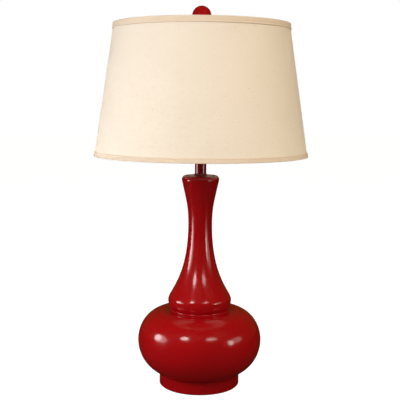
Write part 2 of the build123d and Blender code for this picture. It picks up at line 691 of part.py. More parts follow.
NODES = {
    "felt_pad": felt_pad(),
    "gourd_body": gourd_body(),
    "base_plate": base_plate(),
    "lock_washer": lock_washer(),
    "bottom_nut": bottom_nut(),
    "cord_bushing": cord_bushing(),
    "center_pipe": center_pipe(),
    "check_ring": check_ring(),
    "neck_tube": neck_tube(),
    "harp_saddle": harp_saddle(),
    "harp_wire": harp_wire(),
    "harp_sleeve_left": harp_sleeve(-1),
    "harp_sleeve_right": harp_sleeve(1),
    "socket_cap": socket_cap(),
    "set_screw": set_screw(),
    "socket_shell": socket_shell(),
    "socket_sleeve": socket_sleeve(),
    "socket_block": socket_block(),
    "terminal_screws": terminal_screws(),
    "screw_shell": screw_shell(),
    "center_contact": center_contact(),
    "switch_shaft": switch_shaft(),
    "switch_knob": switch_knob(),
    "bulb_contact": bulb_contact(),
    "bulb_insulator": bulb_insulator(),
    "bulb_cap": bulb_cap(),
    "bulb_globe": bulb_globe(),
    "filament_stem": filament_stem(),
    "harp_seat": harp_seat(),
    "spider_hub": spider_hub(),
    "top_ring": wire_ring(top_ring_z),
    "bottom_ring": wire_ring(bottom_ring_z),
    "shade_liner": shade_layer(TRIM_THICK + FABRIC_THICK, LINER_THICK),
    "shade_fabric": shade_layer(TRIM_THICK, FABRIC_THICK),
    "top_trim": top_trim(),
    "bottom_trim": trim(SHADE_BOTTOM_Z, 1, BOTTOM_TRIM_HEIGHT),
    "finial_insert": finial_insert(),
    "finial_collar": finial_collar(),
    "finial_ball": finial_ball(),
}
for place, angle in ARM_ANGLES.items():
    NODES[f"spider_arm_{place}"] = spider_arm(angle)

os.makedirs("parts", exist_ok=True)
for name, shape in NODES.items():
    export_step(shape, f"parts/{name}.step")
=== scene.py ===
"""Double gourd table lamp: glazed body, linen drum shade, harp, socket and ball finial.

Outlines are rows of (radius, height) in millimetres, turned about the lamp's axis. Meshes,
settings and the stage are in metres.
"""

import json
import math
from types import SimpleNamespace

import bmesh
import bpy
import numpy as np
from bpy.props import FloatProperty, FloatVectorProperty, PointerProperty
from bpy.types import Operator, Panel, PropertyGroup
from mathutils import Matrix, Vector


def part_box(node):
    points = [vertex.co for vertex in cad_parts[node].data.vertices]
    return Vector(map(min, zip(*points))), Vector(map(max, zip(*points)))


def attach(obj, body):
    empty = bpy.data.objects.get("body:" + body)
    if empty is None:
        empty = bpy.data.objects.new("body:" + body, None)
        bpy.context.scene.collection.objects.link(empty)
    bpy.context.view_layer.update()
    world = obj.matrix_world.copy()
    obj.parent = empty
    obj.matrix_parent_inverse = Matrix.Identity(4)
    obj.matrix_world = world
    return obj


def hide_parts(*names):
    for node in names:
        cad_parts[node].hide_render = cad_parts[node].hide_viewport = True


bl_info = {
    "name": "Double Gourd Lamp",
    "version": (1, 0, 0),
    "blender": (4, 5, 0),
    "location": "View3D > Sidebar > Lamp",
    "description": "Glazed double gourd table lamp with a linen drum shade",
    "category": "Object",
}

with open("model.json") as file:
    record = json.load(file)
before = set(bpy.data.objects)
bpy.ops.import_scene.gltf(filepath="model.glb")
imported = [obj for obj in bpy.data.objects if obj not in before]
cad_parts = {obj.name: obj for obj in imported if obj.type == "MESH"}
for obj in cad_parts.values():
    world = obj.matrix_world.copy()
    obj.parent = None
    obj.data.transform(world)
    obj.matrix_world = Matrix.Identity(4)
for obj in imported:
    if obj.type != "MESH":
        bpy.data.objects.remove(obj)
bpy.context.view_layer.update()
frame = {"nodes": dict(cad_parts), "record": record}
MM = 0.001
INCH = 25.4
FINE_TURN = 256             # steps round the body and the ring wires
SHADE_TURN = 320            # steps round the shade
SMALL_TURN = 64             # steps round the hardware
REAR = math.pi / 2          # azimuth of the shade's seam, at the back

# Sizes in millimetres that no setting changes.
DISH_FLAT_R = 16.0          # level middle of the body's top
FOOT_WALL = 7.0
LEDGE_R = 60.0              # opening of the ledge over the base plate
TOP_THICK = 7.0             # casting under the dished top
PIPE_PASS_R = 5.2           # hole that lets the pipe through
TUBE_WALL = 1.0
RING_WIRE_R = 1.9           # ring wires of the shade
ARM_WIRE_R = 1.6
HARP_WIRE_R = 1.9
HARP_LEG_X = 28.5
SEAT_PIN_R = 2.0
EYE_R = 7.5                 # harp's eye, and the hole in it
EYE_HOLE_R = 2.06
STUD_R = 3.1
SHELL_R = 16.8
SHELL_WALL = 0.8
GLOBE_R = 30.0
BALL_R = 19.2
LIP_END = -12.1             # degrees at which the lip's rounding runs into the neck
FLARE_HANDLES = (42.8, 37.0)        # neck's curve above the waist: at the rim, at the waist
SKIRT_HANDLES = (111.1, 14.8)       # and below it: at the waist, at the small gourd


# ---- settings
def length(name, description, value, low=0.5):
    """A length setting, given in millimetres."""
    return FloatProperty(name=name, description=description, default=value * MM, min=low * MM,
                         unit="LENGTH", subtype="DISTANCE", precision=4)


def colour(name, description, value):
    """A colour setting."""
    return FloatVectorProperty(name=name, description=description, default=value, size=3,
                               min=0.0, max=1.0, subtype="COLOR")


class GourdSizes(PropertyGroup):
    """Radii and heights of the glazed body."""
    foot_r: length("Foot radius", "Outside of the foot", 82.75)
    foot_edge_r: length("Foot edge", "Rounding of the foot's lower edge", 1.2)
    bulge_r: length("Bulge radius", "Widest ring of the large gourd", 127.44)
    bulge_z: length("Bulge height", "Height of the widest ring", 94.93)
    shoulder_a: length("Shoulder width", "Half width of the shoulder's ellipse", 55.17)
    shoulder_b: length("Shoulder rise", "Half height of the shoulder's ellipse", 63.06)
    belly_a: length("Belly width", "Half width of the belly's ellipse", 66.09)
    belly_b: length("Belly drop", "Half height of the belly's ellipse", 70.49)
    groove_r: length("Groove radius", "Radius of the groove between the gourds", 57.4)
    groove_glaze: length("Groove glaze", "Reach of the glaze that fills the groove", 9.0)
    small_r: length("Small bulge radius", "Widest ring of the small gourd", 65.2)
    small_z: length("Small bulge height", "Height of that ring", 179.37)
    small_a: length("Small bulge width", "Half width of its lower ellipse", 14.06)
    waist_r: length("Waist radius", "Narrowest ring of the neck", 24.48)
    waist_z: length("Waist height", "Height of the waist", 336.33)
    lip_r: length("Lip rounding", "Rounding of the flared rim", 7.9)
    lip_centre_r: length("Lip centre", "Radius of the rim's crest", 30.3)
    top_z: length("Body height", "Height of the rim's crest", 436.4)
    dish: length("Dish depth", "How far the top sinks towards the neck tube", 2.2)
    hole_r: length("Top hole", "Radius of the hole for the pipe", 6.5)
    wall: length("Wall", "Thickness of the casting", 6.5)


class ShadeSizes(PropertyGroup):
    """Sizes of the drum shade, over its bindings."""
    bottom_r: length("Bottom radius", "Radius at the lower edge", 217.0)
    top_r: length("Top radius", "Radius at the upper edge", 177.1)
    bottom_z: length("Bottom height", "Height of the lower edge", 476.4)
    top_z: length("Top height", "Height of the upper edge", 740.4)
    trim: length("Binding thickness", "How far the bindings stand out", 1.8)
    top_trim: length("Top binding", "Height of the top binding", 12.4)
    bottom_trim: length("Bottom binding", "Height of the bottom binding", 9.6)
    cloth: length("Cloth", "Thickness of the linen", 0.8, 0.1)
    liner: length("Liner", "Thickness of the liner", 0.8, 0.1)
    thread: length("Thread pitch", "Distance between threads of the linen", 0.9, 0.1)


class LampColours(PropertyGroup):
    """Colours of the visible finishes."""
    glaze: colour("Glaze", "Red glaze of the body", (0.308, 0.0016, 0.0042))
    enamel: colour("Enamel", "Red enamel of the neck tube", (0.190, 0.0030, 0.0050))
    lacquer: colour("Lacquer", "Red lacquer of the ball", (0.340, 0.0025, 0.0050))
    linen: colour("Linen", "Cream linen of the shade", (0.780, 0.692, 0.595))
    # Darker than the linen above: painted shade, for the doubled cloth of the bindings that takes
    # less light.
    binding: colour("Binding", "Linen of the two bindings", (0.705, 0.580, 0.460))
    liner: colour("Liner", "Inside of the shade", (0.860, 0.820, 0.740))
    brass: colour("Brass", "Plated metal of harp and socket", (0.640, 0.450, 0.200))


def in_mm(group):
    """A group's lengths in millimetres, by name."""
    return SimpleNamespace(**{name: getattr(group, name) / MM
                              for name in type(group).__annotations__})


def box(node):
    """Low and high corner of a CAD node's box, in millimetres."""
    return [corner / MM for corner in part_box(node)]


def mid_z(node):
    """Height of the middle of a CAD node's box."""
    low, high = box(node)
    return (low.z + high.z) / 2


# ---- outlines
def line(a, b, count=2):
    """Straight run from a to b in equal steps."""
    t = np.linspace(0, 1, count)[:, None]
    return (1 - t) * np.array(a, float) + t * np.array(b, float)


def bezier(a, b, c, d, count=24):
    """Cubic curve from a to d with handles b and c."""
    t = np.linspace(0, 1, count)[:, None]
    a, b, c, d = (np.array(p, float) for p in (a, b, c, d))
    return (1 - t) ** 3 * a + 3 * (1 - t) ** 2 * t * b + 3 * (1 - t) * t * t * c + t ** 3 * d


def curve(b, c, d, count):
    """For chain: the cubic curve from the last point to d with handles b and c."""
    return lambda a: bezier(a, b, c, d, count)


def arc(centre, semi, start, end, count=24):
    """Arc of an upright ellipse: centre + (a cos t, b sin t), t in degrees."""
    t = np.radians(np.linspace(start, end, count))
    return np.array(centre) + np.stack([semi[0] * np.cos(t), semi[1] * np.sin(t)], -1)


def chain(*runs):
    """Runs end to end, with each shared point kept once.

    A run is a point, rows of points, or a curve() from where the last run ended.
    """
    points = np.empty((0, 2))
    for run in runs:
        run = run(points[-1]) if callable(run) else np.atleast_2d(run)
        points = np.concatenate([points, run])
    step = np.linalg.norm(np.diff(points, axis=0), axis=1)
    return points[np.concatenate([[True], step > 1e-4])]


def bend(a, corner, b, count):
    """Quadratic curve from a to b with its handle at a corner."""
    t = np.linspace(0, 1, count)[:, None]
    return (1 - t) ** 2 * a + 2 * (1 - t) * t * corner + t * t * b


def eased(*corners, count=4):
    """Closed outline with rounded corners, each given as (radius, height, reach).

    A corner becomes a bend between the points one reach before and after it.
    """
    corners = np.array(corners, float)
    runs = []
    for i, (r, z, reach) in enumerate(corners):
        here = np.array([r, z])
        ends = []
        for other in (corners[i - 1, :2], corners[(i + 1) % len(corners), :2]):
            away = other - here
            ends.append(here + away * min(0.5, reach / np.linalg.norm(away)))
        runs.append(bend(ends[0], here, ends[1], count))
    return np.concatenate(runs)


def washer(bore, r, low, high):
    """Closed outline of a flat ring with its edges eased."""
    return eased((bore, low, 0.2), (r, low, 0.7), (r, high, 0.7), (bore, high, 0.2))


def meet(before, after, reach, count=10):
    """Two runs that share a corner, with the corner eased over a reach along each."""
    left = np.linalg.norm(before - before[-1], axis=1) > reach
    right = np.linalg.norm(after - after[0], axis=1) > reach
    corner = bend(before[left][-1], before[-1], after[right][0], count)
    return chain(before[left], corner, after[right])


def unit(v):
    """A vector's direction: the vector over its length."""
    return v / np.linalg.norm(v)


def way_along(points):
    """Distance of each point from the first, along the points."""
    step = np.linalg.norm(np.diff(points, axis=0), axis=1)
    return np.concatenate([[0], np.cumsum(step)])


# ---- grids to meshes
def turned(outline, steps, shift=None):
    """Every outline point carried round the axis: x = r cos t, y = r sin t.

    shift(t, z) adds to the radius.
    """
    t = np.linspace(0, 2 * math.pi, steps, endpoint=False)
    r = np.repeat(outline[:, :1], steps, 1)
    z = np.repeat(outline[:, 1:], steps, 1)
    if shift is not None:
        r = r + shift(t[None, :], z)
    return np.stack([r * np.cos(t), r * np.sin(t), z], -1)


def carried(path, section, scale):
    """A section (side, up) carried along a path in three dimensions.

    Each ring lies in the plane square to the path; its frame is turned as little as
    possible from the ring before. scale gives each ring's (side, up) factors.
    """
    ahead = np.gradient(path, axis=0)
    ahead /= np.linalg.norm(ahead, axis=1)[:, None]
    side = np.cross(ahead[0], (0.0, 1.0, 0.0))
    rings = []
    for here, way, (a, b) in zip(path, ahead, scale):
        side = unit(side - way * side.dot(way))
        up = np.cross(way, side)
        rings.append(here + a * section[:, :1] * side + b * section[:, 1:] * up)
    return np.array(rings)


def circle(radius, count=16):
    """Points round a circle: (radius cos t, radius sin t)."""
    t = np.linspace(0, 2 * math.pi, count, endpoint=False)
    return radius * np.stack([np.cos(t), np.sin(t)], -1)


def round_path(corners, radii, step=2.0):
    """Polyline with its inner corners rounded to the given radii, in equal small steps.

    A corner's arc is centred on the line that halves its angle.
    """
    corners = np.array(corners, float)
    points = [corners[0]]
    for before, here, after, radius in zip(corners, corners[1:], corners[2:], radii):
        back, on = unit(before - here), unit(after - here)
        half = math.acos(np.clip(back.dot(on), -1, 1)) / 2
        middle, across = unit(back + on), unit(on - back)
        centre = here + middle * radius / math.sin(half)
        sweep = np.linspace(-1, 1, 14) * (math.pi / 2 - half)
        points.extend(centre - radius * (np.cos(s) * middle - np.sin(s) * across)
                      for s in sweep)
    points = np.array([*points, corners[-1]])
    run = way_along(points)
    even = np.linspace(0, run[-1], int(run[-1] / step) + 2)
    return np.stack([np.interp(even, run, points[:, k]) for k in range(3)], -1)


def quads(rows, columns, wrap_rows, wrap_columns):
    """Corner numbers of each quad of a grid, as unwrapped row and column pairs."""
    i, j = np.meshgrid(np.arange(rows - (not wrap_rows)),
                       np.arange(columns - (not wrap_columns)), indexing="ij")
    i, j = i.ravel(), j.ravel()
    return np.stack([i, i + 1, i + 1, i], -1), np.stack([j, j, j + 1, j + 1], -1)


def grid_mesh(name, grids, sharp):
    """One mesh from several grids in millimetres: (points, wrap rows, wrap columns, uv).

    uv is None or a grid one longer along each wrapped direction. A grid whose faces point
    inwards has a negative volume, and is turned round. Doubles at poles are merged.
    """
    points, corners, uvs, base = [], [], [], 0
    for grid, wrap_rows, wrap_columns, uv in grids:
        rows, columns = grid.shape[:2]
        i, j = quads(rows, columns, wrap_rows, wrap_columns)
        faces = (i % rows) * columns + j % columns
        flat = grid.reshape(-1, 3) * MM
        a, b, c, d = (flat[faces[:, k]] for k in range(4))
        volume = (a * np.cross(b, c)).sum() + (a * np.cross(c, d)).sum()
        order = slice(None) if volume > 0 else slice(None, None, -1)
        if uv is None:
            uv = np.stack(np.meshgrid(np.linspace(0, 1, columns + 1),
                                      np.linspace(0, 1, rows + 1)), -1)
        uvs.append(uv[i[:, order], j[:, order]].reshape(-1, 2))
        corners.append(faces[:, order] + base)
        points.append(flat)
        base += len(flat)
    points, corners, uvs = (np.concatenate(part) for part in (points, corners, uvs))
    mesh = bpy.data.meshes.new(name)
    mesh.vertices.add(len(points))
    mesh.vertices.foreach_set("co", points.astype(np.float32).ravel())
    mesh.loops.add(corners.size)
    mesh.loops.foreach_set("vertex_index", corners.astype(np.int32).ravel())
    mesh.polygons.add(len(corners))
    mesh.polygons.foreach_set("loop_start", np.arange(0, corners.size, 4, dtype=np.int32))
    mesh.update(calc_edges=True)
    layer = mesh.uv_layers.new(name="UVMap")
    layer.data.foreach_set("uv", uvs.astype(np.float32).ravel())
    work = bmesh.new()
    work.from_mesh(mesh)
    bmesh.ops.remove_doubles(work, verts=work.verts, dist=1e-6)
    work.to_mesh(mesh)
    work.free()
    mesh.validate()
    mesh.shade_smooth()
    mesh.set_sharp_from_angle(angle=math.radians(sharp))
    return mesh


def piece(name, node, slot, body, *grids, sharp=35):
    """A mesh of grids in a slot's finish, that rides on a body for its CAD node."""
    mesh = grid_mesh(name, grids, sharp)
    mesh.materials.append(finishes(bpy.context.scene)[slot])
    thing = bpy.data.objects.new(name, mesh)
    bpy.context.scene.collection.objects.link(thing)
    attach(thing, body)
    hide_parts(node)
    return thing


def ring(outline, steps=SMALL_TURN, shift=None, uv=None):
    """A closed outline turned about the axis, for piece."""
    return turned(outline, steps, shift), True, True, uv


def capped(outline, steps=SMALL_TURN, shift=None):
    """An outline that starts and ends on the axis, turned about it, for piece."""
    return turned(outline, steps, shift), False, True, None


def moved(entry, matrix):
    """A grid for piece, with its points put through a matrix."""
    grid, *rest = entry
    m = np.array(matrix)
    return (grid @ m[:3, :3].T + m[:3, 3], *rest)


def facing(y, z, degrees):
    """Matrix that lays a turned piece along Y: turned about X, then moved to (0, y, z)."""
    return Matrix.Translation((0, y, z)) @ Matrix.Rotation(math.radians(degrees), 4, "X")


def rod(path, radius, sides=16):
    """Round bar along a path, for piece. A last ring of no size closes each end."""
    scale = np.ones((len(path), 2))
    path = np.concatenate([path[:1], path, path[-1:]])
    scale = np.concatenate([[[0, 0]], scale, [[0, 0]]])
    ahead = np.gradient(path[1:-1], axis=0)
    nudge = 0.01
    path[0] -= nudge * unit(ahead[0])
    path[-1] += nudge * unit(ahead[-1])
    return carried(path, circle(radius, sides), scale), False, True, None


def screw_thread(low, high, per_inch, depth):
    """Shift that cuts a thread between two heights: a sine that climbs one pitch a turn."""
    pitch = INCH / per_inch

    def shift(t, z):
        return (z > low) * (z < high) * depth * (np.sin(2 * math.pi * z / pitch - t) - 1) / 2
    return shift


# ---- shader maths
class Number:
    """A number that varies over a surface. Arithmetic on it adds Math nodes."""

    def __init__(self, finish, socket):
        self.finish = finish
        self.socket = socket

    def math(self, operation, *others, first=True):
        """A Math node on this number and the others, or on the others and then this one."""
        values = (self, *others) if first else (*others, self)
        node = self.finish.node("ShaderNodeMath", {"operation": operation},
                                dict(enumerate(values)))
        return Number(self.finish, node.outputs[0])

    def __add__(self, other):
        return self.math("ADD", other)

    __radd__ = __add__

    def __sub__(self, other):
        return self.math("SUBTRACT", other)

    def __rsub__(self, other):
        return self.math("SUBTRACT", other, first=False)

    def __mul__(self, other):
        return self.math("MULTIPLY", other)

    __rmul__ = __mul__

    def __abs__(self):
        return self.math("ABSOLUTE")

    def sine(self):
        return self.math("SINE")

    def above(self, edge, soft):
        """0 below edge, 1 above edge + soft, and a smooth step between."""
        node = self.finish.node("ShaderNodeMapRange", {"interpolation_type": "SMOOTHSTEP"},
                                {"Value": self, "From Min": edge, "From Max": edge + soft})
        return Number(self.finish, node.outputs[0])

    def near(self, centre, width):
        """1 at centre, falling smoothly to 0 one width away."""
        return 1 - abs(self - centre).above(0.0, width)


class Finish:
    """One material, or a tree that is handed in, and the nodes that make it."""
    prefix = "lamp_"

    def __init__(self, name, tree=None):
        if tree is None:
            self.material = bpy.data.materials.new(self.prefix + name)
            self.material.use_nodes = True
            tree = self.material.node_tree
        self.tree = tree
        tree.nodes.clear()

    def node(self, kind, settings=None, values=None):
        """A node of that type: its settings first, then its sockets' values or links."""
        node = self.tree.nodes.new(kind)
        for key, value in (settings or {}).items():
            setattr(node, key, value)
        for key, value in (values or {}).items():
            socket = node.inputs[key]
            if isinstance(value, Number):
                value = value.socket
            if isinstance(value, bpy.types.NodeSocket):
                self.tree.links.new(value, socket)
            else:
                socket.default_value = value
        return node

    def place(self, stretch=(1, 1, 1), uv=False):
        """Object coordinates in metres, or the piece's own UV map, stretched."""
        source = self.node("ShaderNodeTexCoord").outputs["UV" if uv else "Object"]
        return self.node("ShaderNodeVectorMath", {"operation": "MULTIPLY"},
                         {0: source, 1: stretch}).outputs[0]

    def parts(self, vector):
        """The three numbers of a vector."""
        split = self.node("ShaderNodeSeparateXYZ", values={0: vector})
        return [Number(self, socket) for socket in split.outputs]

    def noise(self, vector, scale, detail=2.0, roughness=0.5):
        """Smooth cloudy noise around 0.5, finer with scale."""
        node = self.node("ShaderNodeTexNoise", {"noise_dimensions": "3D"},
                         {"Vector": vector, "Scale": scale, "Detail": detail,
                          "Roughness": roughness})
        return Number(self, node.outputs[0])

    def specks(self, vector, scale):
        """Distance to the nearest of a field of scattered points."""
        node = self.node("ShaderNodeTexVoronoi", {"feature": "F1"},
                         {"Vector": vector, "Scale": scale})
        return Number(self, node.outputs["Distance"])

    def mix(self, factor, a, b):
        """Colour a where factor is 0 and b where it is 1."""
        a, b = ((*c, 1) if isinstance(c, tuple) else c for c in (a, b))
        return self.node("ShaderNodeMix", {"data_type": "RGBA"},
                         {0: factor, 6: a, 7: b}).outputs[2]

    def surface(self, base, roughness, bump=None, depth=0.0001, metallic=0.0, **fixed):
        """Principled surface. fixed holds the sockets that are the same all over."""
        base = (*base, 1) if isinstance(base, tuple) else base
        values = {"Base Color": base, "Roughness": roughness, "Metallic": metallic}
        values.update({key.replace("_", " ").title().replace("Ior", "IOR"): value
                       for key, value in fixed.items()})
        if bump is not None:
            values["Normal"] = self.node("ShaderNodeBump", None, {
                "Strength": 1.0, "Distance": depth, "Height": bump}).outputs[0]
        shader = self.node("ShaderNodeBsdfPrincipled", None, values)
        self.node("ShaderNodeOutputMaterial", None, {0: shader.outputs[0]})
        return self.material


def shaded(base, factor):
    """A colour made darker or lighter by a factor."""
    return tuple(min(1.0, c * factor) for c in base)


# ---- finishes
def glaze(base, sizes):
    """Thick gloss glaze: darker in the groove and at the foot from pooled glaze and painted shade,
    thin and bright on the edges.
    """
    f = Finish("red_glaze")
    at = f.place()
    height = f.parts(at)[2]
    cloud = f.noise(at, 9.0, 3.0, 0.55)
    rim_z, edge_z = sizes.top_z - 0.5 * MM, sizes.small_z - 6 * MM
    groove_z, foot_z = sizes.bulge_z + sizes.shoulder_b * 0.965, 26 * MM
    thin = height.near(rim_z, 4 * MM) + height.near(edge_z, 14 * MM) * 0.35
    # Darker in the groove and at the foot's junction under the belly: pooled glaze, and painted
    # shade in these creases.
    pooled_glaze_and_shade = height.near(groove_z, 6 * MM) * 0.15 + height.near(foot_z, 4 * MM) * 0.4
    colour_now = f.mix(cloud.above(0.42, 0.25) * 0.30, base, shaded(base, 0.84))
    colour_now = f.mix(thin * 0.30, colour_now, (base[0] * 1.25, base[1] * 3.2, base[2] * 2.0))
    colour_now = f.mix(pooled_glaze_and_shade, colour_now, shaded(base, 0.45))
    pin = 1 - f.specks(at, 260.0).above(0.045, 0.03)
    colour_now = f.mix(pin * 0.5, colour_now, shaded(base, 0.35))
    ripple = f.noise(at, 70.0, 2.0) * 0.8 + f.noise(at, 420.0, 1.0) * 0.10 - pin * 0.12
    rough = 0.13 + cloud * 0.05 + pin * 0.15
    return f.surface(colour_now, rough, ripple, 0.00022, coat_weight=0.25, coat_roughness=0.10)


def gloss_paint(name, base, rough):
    """Sprayed enamel or lacquer with a faint orange peel and settled dust."""
    f = Finish(name)
    at = f.place()
    peel = f.noise(at, 650.0, 1.0)
    cloud = f.noise(at, 60.0, 2.0)
    dust = 1 - f.specks(at, 900.0).above(0.05, 0.04)
    colour_now = f.mix(cloud * 0.35, base, shaded(base, 0.8))
    return f.surface(colour_now, rough + cloud * 0.06, peel + dust * 0.5, 0.00004,
                     coat_weight=0.3, coat_roughness=0.08)


def woven(name, base, thread, slub, dark, bias=False):
    """Plain weave on the piece's UV map in metres, with thick slub threads both ways.

    The weave's height is the product of two sines, one for each direction of thread.
    Slubs are noise drawn out along a thread, kept only above a level.
    """
    f = Finish(name)
    u, v, _ = f.parts(f.place(uv=True))
    if bias:
        diagonal = 0.7071           # half the root of two
        u, v = (u + v) * diagonal, (v - u) * diagonal
    joined = f.node("ShaderNodeCombineXYZ", None, {0: u, 1: v}).outputs[0]

    def drawn(x, y, level, soft, detail=2.0):
        stretched = f.node("ShaderNodeVectorMath", {"operation": "MULTIPLY"},
                           {0: joined, 1: (x, y, 1.0)}).outputs[0]
        return f.noise(stretched, 1.0, detail).above(level, soft)

    wave = math.pi / thread
    weave = (u * wave).sine() * (v * wave).sine()
    across, along = drawn(55, 1050, 0.60, 0.10), drawn(1050, 55, 0.63, 0.10)
    fine = drawn(160, 1500, 0.50, 0.25) * 0.5 + drawn(1500, 160, 0.50, 0.25) * 0.5
    broad = drawn(6, 9, 0.40, 0.30)
    tone = f.mix(fine * 0.5, shaded(base, 1.03), shaded(base, 0.90))
    tone = f.mix(broad * 0.30, tone, shaded(base, 0.95))
    tone = f.mix((across + along) * slub, tone, shaded(base, 1.12))
    shadow = drawn(90, 480, 0.68, 0.05) + drawn(480, 90, 0.70, 0.05)
    tone = f.mix(shadow * dark, tone, (base[0] * 0.80, base[1] * 0.70, base[2] * 0.58))
    height = weave * 0.35 + (across + along) * 0.9 + fine * 0.5
    return f.surface(tone, 0.86, height, 0.00016, sheen_weight=0.12, sheen_roughness=0.5,
                     specular_ior_level=0.25)


def metal(name, base, rough, tarnish):
    """Plated metal with fine drawn scratches and dull patches."""
    f = Finish(name)
    at = f.place()
    patch = f.noise(at, 55.0, 3.0).above(0.45, 0.3)
    scratch = f.noise(f.place((900, 900, 60)), 1.0, 2.0)
    colour_now = f.mix(patch * tarnish, base, shaded(base, 0.72))
    return f.surface(colour_now, rough + patch * 0.10 + scratch * 0.08, scratch, 0.00002,
                     metallic=1.0)


def moulded(name, base, rough, grain=700.0, depth=0.00005):
    """Moulded or coated surface with a fine grain and faint mottling."""
    f = Finish(name)
    at = f.place()
    mottle = f.noise(at, 35.0, 3.0)
    colour_now = f.mix(mottle * 0.5, base, shaded(base, 0.88))
    return f.surface(colour_now, rough + mottle * 0.08, f.noise(at, grain, 2.0), depth)


def felted(base):
    """Pressed wool felt: tangled fibres as stretched noise both ways."""
    f = Finish("felt")
    fibres = f.noise(f.place((300, 1400, 900)), 1.0, 4.0) + f.noise(f.place((1400, 300, 900)), 1.0)
    colour_now = f.mix(fibres.above(0.8, 0.5), shaded(base, 0.6), shaded(base, 1.5))
    return f.surface(colour_now, 0.95, fibres, 0.0004, sheen_weight=0.4)


def frosted_glass():
    """Inside-frosted bulb glass, brighter where the frost is thick."""
    f = Finish("frosted_glass")
    frost = f.noise(f.place(), 120.0, 3.0)
    colour_now = f.mix(frost, (0.86, 0.86, 0.84), (0.95, 0.95, 0.93))
    return f.surface(colour_now, 0.22 + frost * 0.08, f.noise(f.place(), 40.0), 0.00005,
                     transmission_weight=0.15)


def clear_glass():
    """Nearly clear glass with a faint ripple."""
    f = Finish("clear_glass")
    ripple = f.noise(f.place(), 60.0)
    return f.surface((0.93, 0.95, 0.94), 0.05 + ripple * 0.05, ripple, 0.00005,
                     transmission_weight=0.9)


def finishes(scene):
    """Every material of the lamp, by its slot. They are made once, and then looked up."""
    if Finish.prefix + "red_glaze" not in bpy.data.materials:
        colours = scene.lamp_colours
        thread = scene.lamp_shade.thread
        glaze(tuple(colours.glaze), scene.lamp_gourd)
        gloss_paint("red_metal", tuple(colours.enamel), 0.16)
        gloss_paint("red_ball", tuple(colours.lacquer), 0.12)
        woven("linen", tuple(colours.linen), thread, 0.34, 0.60)
        # The bindings' darker linen is painted shade.
        woven("trim_linen", tuple(colours.binding), thread, 0.22, 0.30, bias=True)
        moulded("white_liner", tuple(colours.liner), 0.55, 90.0)
        metal("brass", tuple(colours.brass), 0.24, 0.5)
        metal("zinc_steel", (0.55, 0.55, 0.54), 0.34, 0.4)
        metal("cap_metal", (0.70, 0.69, 0.66), 0.26, 0.3)
        moulded("white_wire", (0.80, 0.79, 0.75), 0.38)
        moulded("black_plastic", (0.012, 0.012, 0.013), 0.36)
        moulded("paper", (0.42, 0.30, 0.16), 0.75)
        moulded("dark_glass", (0.010, 0.010, 0.018), 0.10)
        felted((0.022, 0.018, 0.016))
        frosted_glass()
        clear_glass()
    return {material.name.removeprefix(Finish.prefix): material
            for material in bpy.data.materials if material.name.startswith(Finish.prefix)}


# ---- outlines of the lamp
def gourd_outline(s):
    """Closed outline of the body: dished top, lip, neck, two bulges, foot, then inside.

    Lip, bulges and foot's edge are arcs of ellipses, and the neck is two cubic curves.
    """
    dish_z = s.top_z - s.dish
    lip = arc((s.lip_centre_r, s.top_z - s.lip_r), (s.lip_r, s.lip_r), 90, LIP_END, 20)
    end = math.radians(LIP_END)
    down = np.array([math.sin(end), -math.cos(end)])
    waist, small = (s.waist_r, s.waist_z), (s.small_r, s.small_z)
    flare = bezier(lip[-1], lip[-1] + down * FLARE_HANDLES[0],
                   (s.waist_r, s.waist_z + FLARE_HANDLES[1]), waist, 40)
    skirt = bezier(waist, (s.waist_r, s.waist_z - SKIRT_HANDLES[0]),
                   (s.small_r, s.small_z + SKIRT_HANDLES[1]), small, 60)

    shoulder_centre = (s.bulge_r - s.shoulder_a, s.bulge_z)
    groove_angle = math.degrees(math.acos((s.groove_r - shoulder_centre[0]) / s.shoulder_a))
    shoulder = arc(shoulder_centre, (s.shoulder_a, s.shoulder_b), groove_angle, 0, 60)
    small_cos = (s.groove_r - (s.small_r - s.small_a)) / s.small_a
    small_b = (s.small_z - shoulder[0][1]) / math.sqrt(1 - small_cos ** 2)
    under = arc((s.small_r - s.small_a, s.small_z), (s.small_a, small_b), 0,
                -math.degrees(math.acos(small_cos)), 40)
    belly_centre = (s.bulge_r - s.belly_a, s.bulge_z)
    foot_angle = -math.degrees(math.acos((s.foot_r - belly_centre[0]) / s.belly_a))
    belly = arc(belly_centre, (s.belly_a, s.belly_b), 0, foot_angle, 60)
    felt_top = box("felt_pad")[1].z
    edge = arc((s.foot_r - s.foot_edge_r, felt_top + s.foot_edge_r),
               (s.foot_edge_r, s.foot_edge_r), 0, -90, 8)
    foot = line(belly[-1], edge[0], 4)
    outside = chain(
        (s.hole_r, dish_z), (DISH_FLAT_R, dish_z),
        curve((22, dish_z), (s.lip_centre_r - 6, s.top_z), (s.lip_centre_r, s.top_z), 12),
        lip, flare, skirt, meet(under, shoulder, s.groove_glaze), meet(belly, foot, 0.8, 5),
        edge)

    ledge_z = box("base_plate")[1].z
    foot_in = s.foot_r - FOOT_WALL
    belly_in = arc(belly_centre, (s.belly_a - s.wall, s.belly_b - s.wall), -90, 0, 24)
    shoulder_in = arc(shoulder_centre, (s.shoulder_a - s.wall, s.shoulder_b - s.wall),
                      0, 100, 24)
    small_in, waist_in = s.small_r - s.wall, s.waist_r - s.wall
    ceiling_z = dish_z - TOP_THICK
    inside = chain(
        (foot_in, felt_top), (foot_in, ledge_z), (LEDGE_R, ledge_z),
        (LEDGE_R, belly_in[0][1]), belly_in, shoulder_in,
        curve(shoulder_in[-1] - (14, 1.5), (small_in, s.small_z - 14),
              (small_in, s.small_z), 10),
        curve((small_in, s.small_z + 12), (waist_in, s.waist_z - 112),
              (waist_in, s.waist_z), 20),
        curve((waist_in, s.waist_z + 38), (23, ceiling_z - 38), (28, ceiling_z - 8), 12),
        curve((29, ceiling_z - 3), (26, ceiling_z), (22, ceiling_z), 6), (s.hole_r, ceiling_z))
    return np.concatenate([outside, inside])


